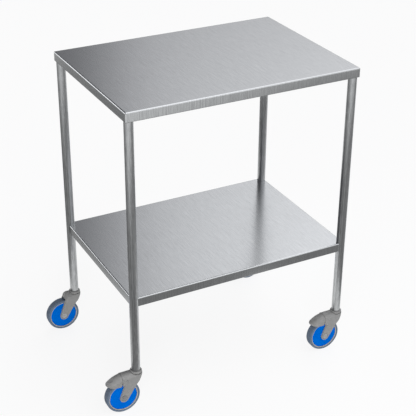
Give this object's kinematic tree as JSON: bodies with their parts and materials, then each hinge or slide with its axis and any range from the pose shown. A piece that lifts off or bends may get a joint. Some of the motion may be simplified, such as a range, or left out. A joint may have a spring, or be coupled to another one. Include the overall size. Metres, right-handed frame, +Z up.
{
  "type": "dressing trolley",
  "caption": "Two-tier stainless trolley with round legs, folded shelves and swivel casters, the front pair braked.",
  "frame": {"origin": "centre of the plan of the legs, on the floor", "axes": "+X along the long side, to the right seen from the front; +Y to the rear; +Z up. The casters trail towards -X at rest"},
  "size_m": [0.7728, 0.497, 0.9],
  "materials": {
    "shelf_steel": "brushed front to back",
    "tube_steel": "ground tube, satin",
    "plated_steel": "zinc plated",
    "grey_plastic": "moulded nylon, fine texture",
    "light_plastic": "moulded polypropylene",
    "blue_plastic": "moulded, satin gloss",
    "tyre": "blue-grey thermoplastic rubber",
    "black_rubber": "moulded rubber"
  },
  "bodies": {
    "frame": {"top_shelf": "shelf_steel", "lower_shelf": "shelf_steel", "top_shelf_channel": "shelf_steel", "lower_shelf_channel": "shelf_steel", "stem_collars": "grey_plastic", "stem_sleeves": "black_rubber", "king_nuts": "plated_steel", "leg_front_left": "tube_steel", "caster_stem_front_left": "plated_steel", "leg_front_right": "tube_steel", "caster_stem_front_right": "plated_steel", "leg_rear_left": "tube_steel", "caster_stem_rear_left": "plated_steel", "leg_rear_right": "tube_steel", "caster_stem_rear_right": "plated_steel"},
    "caster_front_left": {"caster_fork_front_left": "grey_plastic", "swivel_bearing_front_left": "plated_steel", "axle_bolt_front_left": "plated_steel", "axle_nut_front_left": "plated_steel", "axle_spacer_front_left": "plated_steel", "thread_guards_front_left": "blue_plastic", "pedal_pin_front_left": "plated_steel", "pedal_spring_front_left": "plated_steel"},
    "wheel_front_left": {"wheel_centre_front_left": "light_plastic", "wheel_bearings_front_left": "plated_steel", "tyre_front_left": "tyre"},
    "pedal_front_left": {"brake_pedal_front_left": "grey_plastic", "brake_shoe_front_left": "black_rubber"},
    "caster_front_right": {"caster_fork_front_right": "grey_plastic", "swivel_bearing_front_right": "plated_steel", "axle_bolt_front_right": "plated_steel", "axle_nut_front_right": "plated_steel", "axle_spacer_front_right": "plated_steel", "thread_guards_front_right": "blue_plastic", "pedal_pin_front_right": "plated_steel", "pedal_spring_front_right": "plated_steel"},
    "wheel_front_right": {"wheel_centre_front_right": "light_plastic", "wheel_bearings_front_right": "plated_steel", "tyre_front_right": "tyre"},
    "pedal_front_right": {"brake_pedal_front_right": "grey_plastic", "brake_shoe_front_right": "black_rubber"},
    "caster_rear_left": {"caster_fork_rear_left": "grey_plastic", "swivel_bearing_rear_left": "plated_steel", "axle_bolt_rear_left": "plated_steel", "axle_nut_rear_left": "plated_steel", "axle_spacer_rear_left": "plated_steel", "thread_guards_rear_left": "blue_plastic"},
    "wheel_rear_left": {"wheel_centre_rear_left": "light_plastic", "wheel_bearings_rear_left": "plated_steel", "tyre_rear_left": "tyre"},
    "caster_rear_right": {"caster_fork_rear_right": "grey_plastic", "swivel_bearing_rear_right": "plated_steel", "axle_bolt_rear_right": "plated_steel", "axle_nut_rear_right": "plated_steel", "axle_spacer_rear_right": "plated_steel", "thread_guards_rear_right": "blue_plastic"},
    "wheel_rear_right": {"wheel_centre_rear_right": "light_plastic", "wheel_bearings_rear_right": "plated_steel", "tyre_rear_right": "tyre"}
  },
  "joints": [
    {"name": "swivel_front_left", "type": "hinge", "parent": "frame", "child": "caster_front_left", "pos_m": [-0.3308, -0.2308, 0.108], "axis": [0, 0, 1], "continuous": true},
    {"name": "wheel_spin_front_left", "type": "hinge", "parent": "caster_front_left", "child": "wheel_front_left", "pos_m": [-0.3743, -0.2308, 0.05], "axis": [0, 1, 0], "continuous": true},
    {"name": "pedal_press_front_left", "type": "hinge", "parent": "caster_front_left", "child": "pedal_front_left", "pos_m": [-0.3628, -0.2308, 0.107], "axis": [0, -1, 0], "range_deg": [0, 10]},
    {"name": "swivel_front_right", "type": "hinge", "parent": "frame", "child": "caster_front_right", "pos_m": [0.3308, -0.2308, 0.108], "axis": [0, 0, 1], "continuous": true},
    {"name": "wheel_spin_front_right", "type": "hinge", "parent": "caster_front_right", "child": "wheel_front_right", "pos_m": [0.2873, -0.2308, 0.05], "axis": [0, 1, 0], "continuous": true},
    {"name": "pedal_press_front_right", "type": "hinge", "parent": "caster_front_right", "child": "pedal_front_right", "pos_m": [0.2988, -0.2308, 0.107], "axis": [0, -1, 0], "range_deg": [0, 10]},
    {"name": "swivel_rear_left", "type": "hinge", "parent": "frame", "child": "caster_rear_left", "pos_m": [-0.3308, 0.2308, 0.108], "axis": [0, 0, 1], "continuous": true},
    {"name": "wheel_spin_rear_left", "type": "hinge", "parent": "caster_rear_left", "child": "wheel_rear_left", "pos_m": [-0.3743, 0.2308, 0.05], "axis": [0, 1, 0], "continuous": true},
    {"name": "swivel_rear_right", "type": "hinge", "parent": "frame", "child": "caster_rear_right", "pos_m": [0.3308, 0.2308, 0.108], "axis": [0, 0, 1], "continuous": true},
    {"name": "wheel_spin_rear_right", "type": "hinge", "parent": "caster_rear_right", "child": "wheel_rear_right", "pos_m": [0.2873, 0.2308, 0.05], "axis": [0, 1, 0], "continuous": true}
  ]
}
